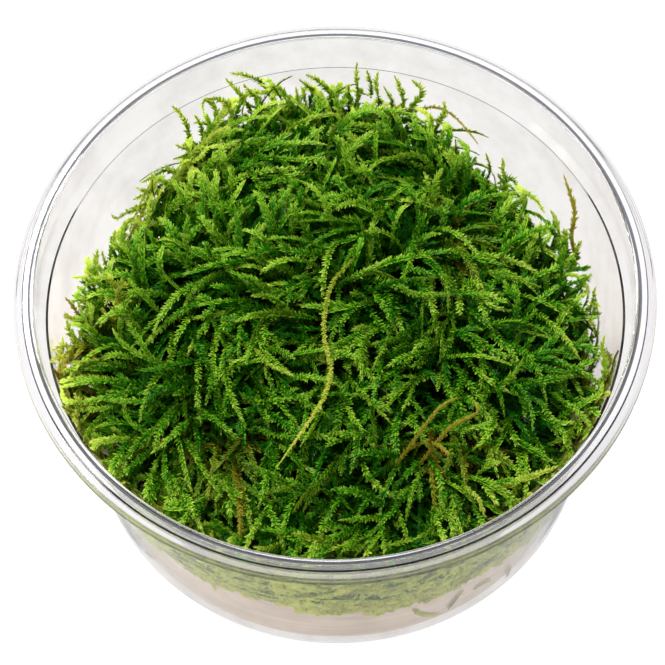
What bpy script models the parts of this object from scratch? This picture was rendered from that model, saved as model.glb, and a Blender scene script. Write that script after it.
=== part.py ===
"""Moss clump growing on a pale gel in a round clear plastic tub, in metres, +Z up, standing at the origin."""

import math
import random

import bmesh
import bpy
import numpy as np
from mathutils import Vector, noise

MM = 0.001

# The tub, as turned about +Z: radii and heights of its rim, collar, ledge, wall and base
TUB_HEIGHT = 47.2 * MM
FLANGE_RADIUS = 50.5 * MM
CREST_RADIUS = 47.85 * MM
MOUTH_RADIUS = 47.15 * MM
COLLAR_FOOT_RADIUS = 46.9 * MM
COLLAR_DEPTH = 5.2 * MM
LEDGE_RADIUS = 45.65 * MM
LEDGE_DEPTH = 6.3 * MM
BASE_RADIUS = 41.87 * MM
BASE_FILLET = 2.0 * MM
BASE_FILLET_STEPS = 4
FLOOR_FILLET_STEPS = 3
WALL = 0.9 * MM
TUB_STEPS = 64

# How far below the rim the collar's outside starts, and how much lower its outer steps lie than its inner ones
COLLAR_START = 1.2 * MM
OUTER_STEP_SHIFT = 0.45 * MM

# The lip's section out from the mouth, and the flange's in from its edge, over it and back under it:
# (millimetres from that radius, millimetres below the rim)
LIP_SECTION = [(0.0, 0.5), (0.25, 0.1)]
FLANGE_SECTION = [
    (-1.2, 0.25),
    (-0.4, 0.6),
    (0.0, 1.15),
    (0.0, 2.1),
    (-0.8, 2.1),
    (-0.9, 1.5),
    (-1.5, 1.1),
]

# The gel: its depth in the middle, how far it climbs the wall and how sharply, and the swell of its edge as
# (waves round the wall, where they start in radians, their share of the swell)
GEL_DEPTH = 16.0 * MM
GEL_CLIMB = 2.6 * MM
GEL_CURVE = 5
GEL_SWELL = 0.8 * MM
GEL_WAVES = [(3, 0.7, 1.0), (7, 2.0, 0.6)]
GEL_RINGS = (1.0, 0.93, 0.84, 0.6, 0.3)
GEL_STEPS = 48

# The gap that touching pieces keep to each other
GAP = 0.3 * MM

# The moss cushion: its crown above the rim, the fall of its top towards the wall, its lumps and its flank,
# and the angles from straight up where its top ends and its underside starts
MOSS_CROWN = -1.0 * MM
MOSS_FALL = 6.0 * MM
FALL_CURVE = 2.4
MOSS_LUMP = 1.1 * MM
LUMP_SIZE = 9.0 * MM
LUMP_SLICE = 0.5
FLANK_UNDERCUT = 2.2 * MM
FLANK_BULGE = 0.8 * MM
TOP_END = math.radians(70)
FLANK_END = math.radians(112)

# The tufts: how low on the flank they start, and their widths along their length as shares of their root's
TUFT_START = 11.8 * MM
TUFT_WIDTHS = (0.66, 0.52, 0.34, 0.08)
TUFT_STEPS = (0.3, 0.56, 0.8, 1.0)
TUFT_CEILING = 3.4 * MM
BEAD_SIZE = 0.8

# Tufts all over the top: their number, length, rise and arch, how far they may lean out over the cushion's
# edge, the least and most lean as shares of their length, and the swirls that they lie in
TOP_TUFTS = 150
TOP_SPREAD = 0.97
TUFT_LENGTH = (6.5 * MM, 10.0 * MM)
TUFT_RISE = (2.2 * MM, 4.2 * MM)
TUFT_ARCH = 1.0 * MM
TUFT_OVERHANG = 2.5 * MM
TUFT_LEAN = (0.3, 0.72)
SWIRL_SIZE = 26.0 * MM
SWIRL_TURN = 2.6
TURN_SPREAD = 0.3
TUFT_SEED = 39
GOLDEN_ANGLE = math.radians(137.5)

# A tuft that would cross another is tried again, turned further and a little shorter each time
TUFT_TRIES = 14
TRIAL_TURN = 0.6
TRIAL_SHORTENING = 0.04

# Tufts round the edge start a little inside the cushion's edge and below its top, and their tips stand out past
# it: how many, how far out they lean, how high they rise, how much higher at the back, and how far they swing
# to either side in radians
EDGE_TUFTS = 42
EDGE_INSET = 0.5 * MM
EDGE_DROP = 1.5 * MM
EDGE_ARCH = 0.6 * MM
EDGE_REACH = (2.4 * MM, 4.6 * MM)
EDGE_RISE = (1.2 * MM, 2.8 * MM)
BACK_RISE = 2.4 * MM
EDGE_SWING = 0.05

# How far the dense cushion reaches from the axis: (degrees from +X, millimetres)
CUSHION_REACH = [
    (-180, 40.5),
    (-160, 43.5),
    (-90, 44.0),
    (-30, 43.5),
    (-8, 40.0),
    (12, 36.0),
    (30, 33.5),
    (48, 33.0),
    (66, 36.5),
    (85, 39.0),
    (112, 40.0),
    (124, 38.5),
    (136, 34.5),
    (150, 34.5),
    (165, 36.0),
    (180, 40.5),
]


def clear_scene():
    for old in list(bpy.data.objects):
        bpy.data.objects.remove(old, do_unlink=True)


def plain_material(name, color, roughness, transmission=0.0):
    material = bpy.data.materials.new(name)
    material.use_nodes = True
    shader = material.node_tree.nodes["Principled BSDF"]
    shader.inputs["Base Color"].default_value = (*color, 1.0)
    shader.inputs["Roughness"].default_value = roughness
    shader.inputs["Metallic"].default_value = 0.0
    shader.inputs["Transmission Weight"].default_value = transmission
    return material


def named_object(name, mesh_data, material, smooth_angle):
    mesh = bpy.data.meshes.new(name)
    mesh_data.to_mesh(mesh)
    mesh_data.free()
    mesh.materials.append(material)
    mesh.shade_smooth()
    mesh.set_sharp_from_angle(angle=math.radians(smooth_angle))
    made = bpy.data.objects.new(name, mesh)
    bpy.context.scene.collection.objects.link(made)
    return made


def turn_profile(profile, steps):
    """A closed body turned about +Z from a profile whose two ends lie on the axis."""
    body = bmesh.new()
    points = [body.verts.new((radius, 0.0, height)) for radius, height in profile]
    edges = [body.edges.new(pair) for pair in zip(points, points[1:])]
    bmesh.ops.spin(
        body,
        geom=points + edges,
        cent=(0, 0, 0),
        axis=(0, 0, 1),
        angle=2 * math.pi,
        steps=steps,
        use_merge=True,
        use_duplicate=False,
    )
    bmesh.ops.remove_doubles(body, verts=body.verts, dist=0.001 * MM)
    bmesh.ops.recalc_face_normals(body, faces=body.faces)
    return body


def corner(centre_radius, centre_height, radius, start, end, count):
    """Points of a fillet, as (radius, height), from one angle to another in degrees."""
    angles = [math.radians(start + (end - start) * k / count) for k in range(count + 1)]
    return [
        (centre_radius + radius * math.cos(a), centre_height + radius * math.sin(a))
        for a in angles
    ]


def section(radius, steps):
    """Points of the rim, as (radius, height), from millimetres beside a radius and below the rim."""
    return [(radius + out * MM, TUB_HEIGHT - below * MM) for out, below in steps]


def wall_inside(height):
    """Inner radius of the tub at a height."""
    ledge_height = TUB_HEIGHT - LEDGE_DEPTH
    if height > ledge_height:
        share = min((height - ledge_height) / (LEDGE_DEPTH - COLLAR_DEPTH), 1.0)
        return LEDGE_RADIUS + share * (COLLAR_FOOT_RADIUS - LEDGE_RADIUS)
    share = (height - BASE_FILLET) / (ledge_height - BASE_FILLET)
    return BASE_RADIUS - WALL + share * (LEDGE_RADIUS - BASE_RADIUS + WALL)


def tub_profile():
    rim = TUB_HEIGHT
    fillet = BASE_FILLET - 0.5 * WALL
    floor_centre = wall_inside(BASE_FILLET) - fillet
    floor_corner = corner(floor_centre, WALL + fillet, fillet, -90, 0, FLOOR_FILLET_STEPS)
    ledge = [
        (LEDGE_RADIUS, rim - LEDGE_DEPTH),
        (COLLAR_FOOT_RADIUS, rim - COLLAR_DEPTH),
    ]
    lip = section(MOUTH_RADIUS, LIP_SECTION)
    flange = [(CREST_RADIUS, rim)] + section(FLANGE_RADIUS, FLANGE_SECTION)
    outside = [
        (MOUTH_RADIUS + WALL, rim - COLLAR_START),
        (COLLAR_FOOT_RADIUS + WALL, rim - COLLAR_DEPTH - OUTER_STEP_SHIFT),
        (LEDGE_RADIUS + WALL, rim - LEDGE_DEPTH - OUTER_STEP_SHIFT),
    ]
    base_centre = BASE_RADIUS - BASE_FILLET
    base_corner = corner(base_centre, BASE_FILLET, BASE_FILLET, 0, -90, BASE_FILLET_STEPS)
    inner_side = [(0.0, WALL)] + floor_corner + ledge + lip
    outer_side = outside + base_corner + [(0.0, 0.0)]
    return inner_side + flange + outer_side


def make_tub():
    material = plain_material("clear_plastic", (0.93, 0.94, 0.94), 0.06, 0.9)
    return named_object("tub", turn_profile(tub_profile(), TUB_STEPS), material, 35)


def gel_surface(x, y):
    """Height of the gel's top, which climbs the wall and swells a little along it."""
    reach = wall_inside(GEL_DEPTH)
    share = min(math.hypot(x, y) / reach, 1.0)
    angle = math.atan2(y, x)
    swell = sum(size * math.sin(waves * angle + start) for waves, start, size in GEL_WAVES)
    return GEL_DEPTH + share**GEL_CURVE * (GEL_CLIMB + GEL_SWELL * swell)


def make_gel():
    foot = WALL + GAP
    fillet = BASE_FILLET - 0.5 * WALL
    foot_centre = wall_inside(BASE_FILLET) - GAP - fillet
    foot_corner = corner(foot_centre, foot + fillet, fillet, -90, 0, FLOOR_FILLET_STEPS)
    edge = wall_inside(GEL_DEPTH) - GAP
    top = [(edge * share, GEL_DEPTH) for share in GEL_RINGS] + [(0.0, GEL_DEPTH)]
    body = turn_profile([(0.0, foot)] + foot_corner + top, GEL_STEPS)
    for vertex in body.verts:
        if vertex.co.z > GEL_DEPTH - GAP:
            vertex.co.z = gel_surface(vertex.co.x, vertex.co.y)
            flat = Vector((vertex.co.x, vertex.co.y))
            if flat.length > edge - GAP:
                flat *= (wall_inside(vertex.co.z) - GAP) / flat.length
                vertex.co.x, vertex.co.y = flat
    material = plain_material("pale_gel", (0.66, 0.55, 0.46), 0.35, 0.15)
    return named_object("nutrient_gel", body, material, 50)


def cushion_reach(angle):
    degrees, reaches = zip(*CUSHION_REACH)
    return float(np.interp(math.degrees(angle), degrees, reaches)) * MM


def cushion_top(x, y):
    """Height of the dense cushion's lumpy top, which falls towards the wall."""
    share = min(math.hypot(x, y) / LEDGE_RADIUS, 1.0)
    lump = noise.noise(Vector((x / LUMP_SIZE, y / LUMP_SIZE, LUMP_SLICE)))
    return TUB_HEIGHT + MOSS_CROWN - MOSS_FALL * share**FALL_CURVE + MOSS_LUMP * lump


def on_circle(radius, angle, height):
    return Vector((radius * math.cos(angle), radius * math.sin(angle), height))


def cushion_point(direction):
    """Where a direction from the clump's middle meets its skin: top, flank or underside."""
    polar = math.acos(max(-1.0, min(1.0, direction.z)))
    angle = math.atan2(direction.y, direction.x)
    reach = cushion_reach(angle)
    if polar <= TOP_END:
        point = on_circle(reach * math.sin(polar / 2) / math.sin(TOP_END / 2), angle, 0)
        point.z = cushion_top(point.x, point.y)
        return point
    if polar >= FLANK_END:
        share = math.sin((math.pi - polar) / 2) / math.sin((math.pi - FLANK_END) / 2)
        point = on_circle((reach - FLANK_UNDERCUT) * share, angle, 0)
        point.z = gel_surface(point.x, point.y) + GAP
        return point
    share = (polar - TOP_END) / (FLANK_END - TOP_END)
    edge = on_circle(reach, angle, 0)
    high = cushion_top(edge.x, edge.y)
    low = gel_surface(edge.x, edge.y) + GAP
    height = high + (low - high) * share
    bulge = FLANK_BULGE * math.sin(math.pi * share)
    radius = reach - FLANK_UNDERCUT * share + bulge
    return on_circle(min(radius, wall_inside(height) - GAP), angle, height)


def inside_tub(point, clearance):
    """The point, drawn in where it would stand nearer to the wall than the clearance or too high."""
    height = min(point.z, TUB_HEIGHT + TUFT_CEILING)
    flat = Vector((point.x, point.y))
    limit = wall_inside(height) - GAP - clearance
    if flat.length > limit:
        flat *= limit / flat.length
    return Vector((flat.x, flat.y, height))


def grow_tuft(body, face, path):
    """Draws a tuft out of one face: a tapering, bent spike whose sections follow the path to its tip."""
    first_width = math.sqrt(face.calc_area())
    for point, share in zip(path, TUFT_WIDTHS):
        centre = face.calc_center_median()
        made = bmesh.ops.extrude_discrete_faces(body, faces=[face])
        face = made["faces"][0]
        scale = share * first_width / math.sqrt(face.calc_area())
        goal = inside_tub(point, 0.5 * share * first_width)
        for vertex in face.verts:
            vertex.co = goal + (vertex.co - centre) * scale
            vertex.co = inside_tub(vertex.co, 0.0)


def bent_path(root, tip, rise):
    """Points from a tuft's root to its tip, arched up by the rise."""
    points = []
    for share in TUFT_STEPS:
        lift = rise * 4 * share * (1 - share)
        points.append(root.lerp(tip, share) + Vector((0, 0, lift)))
    return points


def take_face(free, wanted):
    """The free face nearest to a point. It and the faces beside it aren't free afterwards."""
    found = min(free, key=lambda f: (f.calc_center_median() - wanted).length)
    beside = {neighbour for edge in found.edges for neighbour in edge.link_faces}
    free[:] = [face for face in free if face not in beside]
    return found


def beads_along(face, path):
    """Balls along a tuft, as (centre, radius), that hold its sections past its root."""
    reach = BEAD_SIZE * math.sqrt(face.calc_area())
    found = []
    before, width_before = face.calc_center_median(), 1.0
    for point, width in zip(path, TUFT_WIDTHS):
        for share in (0.5, 1.0):
            radius = reach * (width_before + (width - width_before) * share)
            found.append((before.lerp(point, share), radius))
        before, width_before = point, width
    return found[1:]


def is_clear(beads, others):
    """Whether a tuft's beads stay off the beads of the tufts that are there."""
    return all(
        (centre - other).length > radius + other_radius
        for centre, radius in beads
        for other, other_radius in others
    )


def edge_tufts(draw, free, beads):
    """A face and a path for each tuft that stands out round the edge of the clump."""
    tufts = []
    for number in range(EDGE_TUFTS):
        angle = math.remainder(2 * math.pi * number / EDGE_TUFTS, 2 * math.pi)
        reach = cushion_reach(angle)
        root = on_circle(reach - EDGE_INSET, angle, 0)
        root.z = cushion_top(root.x, root.y) - EDGE_DROP
        face = take_face(free, root)
        swung = angle + draw.uniform(-EDGE_SWING, EDGE_SWING)
        rise = draw.uniform(*EDGE_RISE) + BACK_RISE * max(0.0, math.sin(angle))
        tip = on_circle(reach + draw.uniform(*EDGE_REACH), swung, root.z + EDGE_DROP + rise)
        path = bent_path(face.calc_center_median(), tip, EDGE_ARCH)
        beads += beads_along(face, path)
        tufts.append((face, path))
    return tufts


def leaning_path(root, heading, length, rise):
    """A tuft's path towards a heading. It leans less where the cushion's edge is near."""
    room = cushion_reach(math.atan2(root.y, root.x)) + TUFT_OVERHANG
    room -= math.hypot(root.x, root.y)
    least, most = TUFT_LEAN
    lean = min(most * length, max(room, least * length))
    return bent_path(root, root + on_circle(lean, heading, rise), TUFT_ARCH)


def top_tufts(draw, free, beads):
    """A face and a path for tufts all over the top, which lean over in broad swirls and don't cross."""
    tufts = []
    for number in range(TOP_TUFTS):
        if not free:
            break
        turn = math.remainder(number * GOLDEN_ANGLE, 2 * math.pi)
        spread = math.sqrt((number + 0.5) / TOP_TUFTS)
        wanted = on_circle(cushion_reach(turn) * spread * TOP_SPREAD, turn, 0)
        wanted.z = cushion_top(wanted.x, wanted.y)
        face = take_face(free, wanted)
        root = face.calc_center_median()
        swirl = SWIRL_TURN * noise.noise(Vector((root.x, root.y, 0.0)) / SWIRL_SIZE)
        for trial in range(TUFT_TRIES):
            turned = draw.uniform(-TURN_SPREAD, TURN_SPREAD) * (1 + TRIAL_TURN * trial)
            heading = math.atan2(root.y, root.x) + swirl + turned
            length = draw.uniform(*TUFT_LENGTH) * (1 - TRIAL_SHORTENING * trial)
            path = leaning_path(root, heading, length, draw.uniform(*TUFT_RISE))
            own_beads = beads_along(face, path)
            if is_clear(own_beads, beads):
                beads += own_beads
                tufts.append((face, path))
                break
    return tufts


def make_moss():
    body = bmesh.new()
    bmesh.ops.create_icosphere(body, subdivisions=4, radius=1.0)
    for vertex in body.verts:
        vertex.co = cushion_point(vertex.co.normalized())
    body.normal_update()
    lowest_root = TUB_HEIGHT - TUFT_START
    free = [
        face
        for face in body.faces
        if face.calc_center_median().z > lowest_root and face.normal.z > 0.0
    ]
    draw = random.Random(TUFT_SEED)
    beads = []
    tufts = edge_tufts(draw, free, beads) + top_tufts(draw, free, beads)
    for face, path in tufts:
        grow_tuft(body, face, path)
    material = plain_material("moss_green", (0.07, 0.2, 0.012), 0.6)
    return named_object("moss_clump", body, material, 40)


clear_scene()
make_tub()
make_gel()
make_moss()
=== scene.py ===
import math

import bmesh
import bpy
import numpy as np
from mathutils import Matrix, Vector, noise


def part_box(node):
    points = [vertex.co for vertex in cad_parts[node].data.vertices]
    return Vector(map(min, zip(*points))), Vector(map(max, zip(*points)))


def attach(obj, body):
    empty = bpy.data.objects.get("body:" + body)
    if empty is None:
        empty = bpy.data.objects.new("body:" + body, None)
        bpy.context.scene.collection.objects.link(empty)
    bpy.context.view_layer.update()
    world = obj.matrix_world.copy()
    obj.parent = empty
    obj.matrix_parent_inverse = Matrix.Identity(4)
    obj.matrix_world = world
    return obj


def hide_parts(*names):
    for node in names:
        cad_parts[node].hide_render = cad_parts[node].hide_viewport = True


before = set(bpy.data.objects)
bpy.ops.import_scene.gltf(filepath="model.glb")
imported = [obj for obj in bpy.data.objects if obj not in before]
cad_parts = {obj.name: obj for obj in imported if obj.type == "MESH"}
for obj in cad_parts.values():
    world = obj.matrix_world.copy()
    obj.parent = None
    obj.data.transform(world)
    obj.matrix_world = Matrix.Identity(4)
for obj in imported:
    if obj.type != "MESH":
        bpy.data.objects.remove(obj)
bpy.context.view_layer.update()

# Camera. A long lens looks down into the tub from the front. It is rolled a little, so that the tub's
# right side stands higher in the picture than its left.
MM = 0.001
sensor_width = 36.0
camera_lens = 130.93
camera_aim = Vector((-0.55, -4.43, 39.2)) * MM
camera_distance = 384.0 * MM
camera_elevation = math.radians(60.78)
camera_roll = math.radians(-1.86)


def placed(name, data):
    """A new object in the scene."""
    thing = bpy.data.objects.new(name, data)
    bpy.context.scene.collection.objects.link(thing)
    return thing


camera_data = bpy.data.cameras.new("camera")
camera_data.lens = camera_lens
camera_data.sensor_width = sensor_width
camera_data.clip_start = 0.01
camera_data.clip_end = 20.0
camera = placed("camera", camera_data)
camera_back = Vector((0, -math.cos(camera_elevation), math.sin(camera_elevation)))
camera_place = camera_aim + camera_distance * camera_back
camera_turn = Matrix.Rotation(math.pi / 2 - camera_elevation, 4, "X") @ Matrix.Rotation(camera_roll, 4, "Z")
camera.matrix_world = Matrix.Translation(camera_place) @ camera_turn
bpy.context.scene.camera = camera


# Floor and light. The tub stands on a white sweep in a dim room, lit by four soft boxes. The sweep is burnt
# out to white where it is seen directly, and light grey in what the tub reflects and refracts.
floor_drop = 0.05 * MM
floor_size = 3.0
floor_glow = 0.78
floor_burn = 1.0
floor_mesh = bmesh.new()
bmesh.ops.create_grid(floor_mesh, x_segments=1, y_segments=1, size=floor_size)
bmesh.ops.translate(floor_mesh, verts=floor_mesh.verts, vec=(0, 0, -floor_drop))
floor_data = bpy.data.meshes.new("floor")
floor_mesh.to_mesh(floor_data)
floor_mesh.free()
floor = placed("floor", floor_data)


def new_paint(name):
    """A new material, its main shader, its nodes and its links."""
    paint = bpy.data.materials.new(name)
    paint.use_nodes = True
    nodes = paint.node_tree.nodes
    return paint, nodes["Principled BSDF"], nodes, paint.node_tree.links


floor_paint, floor_shader, floor_nodes, floor_links = new_paint("white sweep")
floor_shader.inputs["Base Color"].default_value = (0.1, 0.1, 0.1, 1)
floor_shader.inputs["Roughness"].default_value = 0.9
floor_shader.inputs["Specular IOR Level"].default_value = 0.0
floor_shader.inputs["Emission Color"].default_value = (1, 1, 1, 1)
floor_ray = floor_nodes.new("ShaderNodeLightPath")
floor_level = floor_nodes.new("ShaderNodeMapRange")
floor_level.inputs["To Min"].default_value = floor_glow
floor_level.inputs["To Max"].default_value = floor_burn
floor_links.new(floor_ray.outputs["Is Camera Ray"], floor_level.inputs["Value"])
floor_links.new(floor_level.outputs["Result"], floor_shader.inputs["Emission Strength"])
floor_data.materials.append(floor_paint)

world = bpy.data.worlds.new("room")
world.use_nodes = True
world.node_tree.nodes["Background"].inputs["Color"].default_value = (0.9, 0.95, 1.0, 1)
world.node_tree.nodes["Background"].inputs["Strength"].default_value = 0.18
bpy.context.scene.world = world
bpy.context.scene.view_settings.view_transform = "Standard"


def soft_box(name, place, aim, size, power, color):
    """A round lamp of a size in metres and a power in watts, turned towards what it lights."""
    light = bpy.data.lights.new(name, "AREA")
    light.shape = "DISK"
    light.size = size
    light.energy = power
    light.color = color
    lamp = placed(name, light)
    lamp.location = place
    lamp.rotation_euler = (Vector(place) - Vector(aim)).to_track_quat("Z", "Y").to_euler()


moss_middle = (0, 0, 0.04)
wall_middle = (0, 0, 0.03)
soft_box("box behind", (-0.35, 0.5, 0.75), moss_middle, 0.3, 9.8, (1.0, 1.0, 0.96))
soft_box("box above", (0.0, 0.55, 0.95), moss_middle, 0.9, 8.0, (0.97, 0.98, 1.0))
soft_box("box at the left", (-0.75, -0.1, 0.6), moss_middle, 0.3, 3.0, (1.0, 0.99, 0.95))
soft_box("box in front", (0.1, -1.0, 0.3), wall_middle, 0.8, 2.5, (1.0, 0.98, 0.94))


# Tub. One thin clear plastic moulding: a flat base, a slightly tapering wall, a small ledge, an upright
# collar and a rolled flange. Below the flange it is faintly hazed and mottled by moisture. It casts no
# shadow, because the real plastic lets the light through to the moss.
rim = 47.2 * MM
wall = 0.45 * MM
flange_radius = 50.5 * MM
flange_step_radius = 48.9 * MM
flange_depth = 1.3 * MM
lip_depth = 2.1 * MM
step_width = 0.2 * MM
step_drop = 0.4 * MM
crest_radius = 47.85 * MM
crest_crease = 0.24 * MM
mouth_radius = 47.1 * MM
collar_foot_radius = 46.9 * MM
collar_depth = 5.2 * MM
ledge_radius = 45.65 * MM
ledge_depth = 6.3 * MM
ledge_crease = 0.06 * MM
base_radius = 41.87 * MM
base_fillet = 2.0 * MM
inner_fillet = 1.6 * MM
roll_fillet = 0.4 * MM
lip_fillet = 0.2 * MM
tight_fillet = 0.15 * MM
outer_shift = 0.2 * MM
edge_hold = 0.08 * MM
largest_fillet_share = 0.45
fillet_steps = 4
tub_steps = 288


def rounded(corners, steps):
    """A profile through corners given as (radius, height, fillet). Each fillet is drawn as an arc, and a
    point beside each end of a straight stretch keeps that stretch's shading straight."""
    line = []
    for number, (radius, height, fillet) in enumerate(corners):
        here = Vector((radius, height))
        if fillet == 0 or number in (0, len(corners) - 1):
            line.append(here)
            continue
        before = Vector(corners[number - 1][:2]) - here
        after = Vector(corners[number + 1][:2]) - here
        turn = before.angle(after)
        longest = largest_fillet_share * min(before.length, after.length)
        reach = min(fillet / math.tan(turn / 2), longest)
        radius_used = reach * math.tan(turn / 2)
        start, end = here + before.normalized() * reach, here + after.normalized() * reach
        inward = (before.normalized() + after.normalized()).normalized()
        centre = here + inward * (radius_used / math.sin(turn / 2))
        sweep = (start - centre).angle_signed(end - centre)
        for step in range(steps + 1):
            spoke = start - centre
            spoke.rotate(Matrix.Rotation(-sweep * step / steps, 2))
            line.append(centre + spoke)
    held = []
    for start, end in zip(line, line[1:]):
        held.append(start)
        stretch = end - start
        if stretch.length > 5 * edge_hold:
            held += [start + stretch.normalized() * edge_hold, end - stretch.normalized() * edge_hold]
    held.append(line[-1])
    return [(point.x, point.y) for point in held]


def turned(profile, steps):
    """A closed shape turned about the upright axis from a profile whose ends lie on it."""
    shape = bmesh.new()
    points = [shape.verts.new((radius, 0.0, height)) for radius, height in profile]
    edges = [shape.edges.new(pair) for pair in zip(points, points[1:])]
    bmesh.ops.spin(
        shape, geom=points + edges, cent=(0, 0, 0), axis=(0, 0, 1),
        angle=2 * math.pi, steps=steps, use_merge=True,
    )
    bmesh.ops.remove_doubles(shape, verts=shape.verts, dist=0.001 * MM)
    bmesh.ops.recalc_face_normals(shape, faces=shape.faces)
    return shape


def finished(name, shape, material, node):
    """The bmesh as a smooth piece of the object that stands for a CAD node."""
    mesh = bpy.data.meshes.new(name)
    shape.to_mesh(mesh)
    shape.free()
    mesh.materials.append(material)
    mesh.shade_smooth()
    piece = placed(name, mesh)
    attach(piece, "root")
    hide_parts(node)
    return piece


def wall_inside(height):
    """Inner radius of the tub at a height, or at each of an array of heights."""
    ledge_height = rim - ledge_depth
    foot_radius = base_radius - wall
    up_wall = (height - base_fillet) / (ledge_height - base_fillet)
    up_ledge = np.clip((height - ledge_height) / (ledge_depth - collar_depth), 0, 1)
    below = foot_radius + up_wall * (ledge_radius - foot_radius)
    above = ledge_radius + up_ledge * (collar_foot_radius - ledge_radius)
    return np.where(height > ledge_height, above, below)


# The corners as radius, height and fillet: along the floor, up the inside, over the flange and down outside
tub_corners = [
    (0.0, wall, 0.0),
    (wall_inside(0.0) + 0.1 * MM, wall, inner_fillet),
    (ledge_radius, rim - ledge_depth, 0.0),
    (ledge_radius + ledge_crease, rim - ledge_depth + ledge_crease, 0.0),
    (collar_foot_radius, rim - collar_depth, tight_fillet),
    (mouth_radius, rim - 0.05 * MM, lip_fillet),
    (crest_radius - crest_crease, rim, 0.0),
    (crest_radius, rim - crest_crease / 2, 0.0),
    (crest_radius + crest_crease, rim, 0.0),
    (flange_step_radius, rim - 0.1 * MM, 0.0),
    (flange_step_radius + step_width, rim - step_drop, 0.0),
    (flange_radius - 0.4 * MM, rim - 0.65 * MM, roll_fillet),
    (flange_radius, rim - 1.15 * MM, roll_fillet),
    (flange_radius, rim - lip_depth, lip_fillet),
    (flange_radius - 0.5 * MM, rim - lip_depth, lip_fillet),
    (flange_radius - 0.6 * MM, rim - 1.5 * MM, 0.3 * MM),
    (flange_radius - 1.3 * MM, rim - 1.05 * MM, roll_fillet),
    (crest_radius, rim - 0.75 * MM, tight_fillet),
    (collar_foot_radius + wall, rim - collar_depth - outer_shift, tight_fillet),
    (ledge_radius + wall, rim - ledge_depth - outer_shift, tight_fillet),
    (base_radius, 0.0, base_fillet),
    (0.0, 0.0, 0.0),
]

clear_plastic, rim_shader = new_paint("clear plastic")[:2]
rim_shader.inputs["Base Color"].default_value = (0.95, 0.93, 0.96, 1)
rim_shader.inputs["Roughness"].default_value = 0.03
rim_shader.inputs["IOR"].default_value = 1.4
rim_shader.inputs["Transmission Weight"].default_value = 0.95

# The sharp creases of the moulding are painted dark: painted shade for the dark lines that they show by
# turning the light away
crease_shade_plastic = clear_plastic.copy()
crease_shade_plastic.name = "plastic crease painted shade"
crease_shade_shader = crease_shade_plastic.node_tree.nodes["Principled BSDF"]
crease_shade_shader.inputs["Base Color"].default_value = (0.02, 0.02, 0.03, 1)
crease_shade_shader.inputs["Specular IOR Level"].default_value = 0.15

# The low index of refraction stands for plastic that is wetted by the gel and the moss
moist_plastic, wall_shader, wall_nodes, wall_links = new_paint("moist plastic")
wall_shader.inputs["IOR"].default_value = 1.12
wall_place = wall_nodes.new("ShaderNodeTexCoord")
moisture = wall_nodes.new("ShaderNodeTexNoise")
moisture.inputs["Scale"].default_value = 110.0
moisture.inputs["Detail"].default_value = 4.0
moisture.inputs["Roughness"].default_value = 0.65
wall_links.new(wall_place.outputs["Object"], moisture.inputs["Vector"])
for socket, dry, wet in (("Transmission Weight", 1.0, 0.98), ("Roughness", 0.01, 0.06)):
    spread = wall_nodes.new("ShaderNodeMapRange")
    spread.inputs["From Min"].default_value = 0.35
    spread.inputs["From Max"].default_value = 0.65
    spread.inputs["To Min"].default_value = dry
    spread.inputs["To Max"].default_value = wet
    wall_links.new(moisture.outputs["Fac"], spread.inputs["Value"])
    wall_links.new(spread.outputs["Result"], wall_shader.inputs[socket])
wall_tint = wall_nodes.new("ShaderNodeValToRGB")
wall_tint.color_ramp.elements[0].position = 0.4
wall_tint.color_ramp.elements[0].color = (0.97, 0.955, 0.94, 1)
wall_tint.color_ramp.elements[1].position = 0.65
wall_tint.color_ramp.elements[1].color = (0.88, 0.855, 0.835, 1)
wall_links.new(moisture.outputs["Fac"], wall_tint.inputs["Fac"])
wall_links.new(wall_tint.outputs["Color"], wall_shader.inputs["Base Color"])

moist_number = 1
crease_shade_number = 2
tub_shape = turned(rounded(tub_corners, fillet_steps), tub_steps)
for face in tub_shape.faces:
    middle = face.calc_center_median()
    outward = math.hypot(middle.x, middle.y)
    over_ledge = middle.z - rim + ledge_depth
    on_crest = abs(outward - crest_radius) < crest_crease and middle.z > rim - crest_crease
    on_step = 0 < outward - flange_step_radius < step_width and middle.z > rim - step_drop
    on_ledge = 0 < outward - ledge_radius < ledge_crease and 0 < over_ledge < ledge_crease
    # Faces on the crest, the flange step and the ledge get the plastic painted dark as shade
    if on_crest or on_step or on_ledge:
        face.material_index = crease_shade_number
    elif middle.z < rim - flange_depth:
        face.material_index = moist_number
tub = finished("clear_tub", tub_shape, clear_plastic, "tub")
tub.data.materials.append(moist_plastic)
tub.data.materials.append(crease_shade_plastic)
tub.visible_shadow = False


# Gel. A set layer of pale nutrient gel, poured warm, fills the tub's foot and climbs its wall a little. It
# is cloudy and finely streaked.
gap = 0.3 * MM
gel_gap = 0.7 * MM
gel_depth = 16.0 * MM
gel_climb = 2.6 * MM
gel_curve = 5
gel_swell = 0.8 * MM
gel_fillet_steps = 5
gel_steps = 128
gel_ring_shares = (1.0, 0.97, 0.93, 0.88, 0.8, 0.7, 0.5, 0.25)

# Swells of the gel's edge: how many go round the tub, where they start in radians, and their size
gel_waves = [(3, 0.7, 1.0), (7, 2.0, 0.6)]


def gel_surface(x, y):
    """Height of the gel's top, which is flat in the middle and climbs unevenly at the wall."""
    share = min(math.hypot(x, y) / wall_inside(gel_depth), 1.0)
    angle = math.atan2(y, x)
    swell = sum(size * math.sin(waves * angle + start) for waves, start, size in gel_waves)
    return gel_depth + share**gel_curve * (gel_climb + gel_swell * swell)


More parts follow.
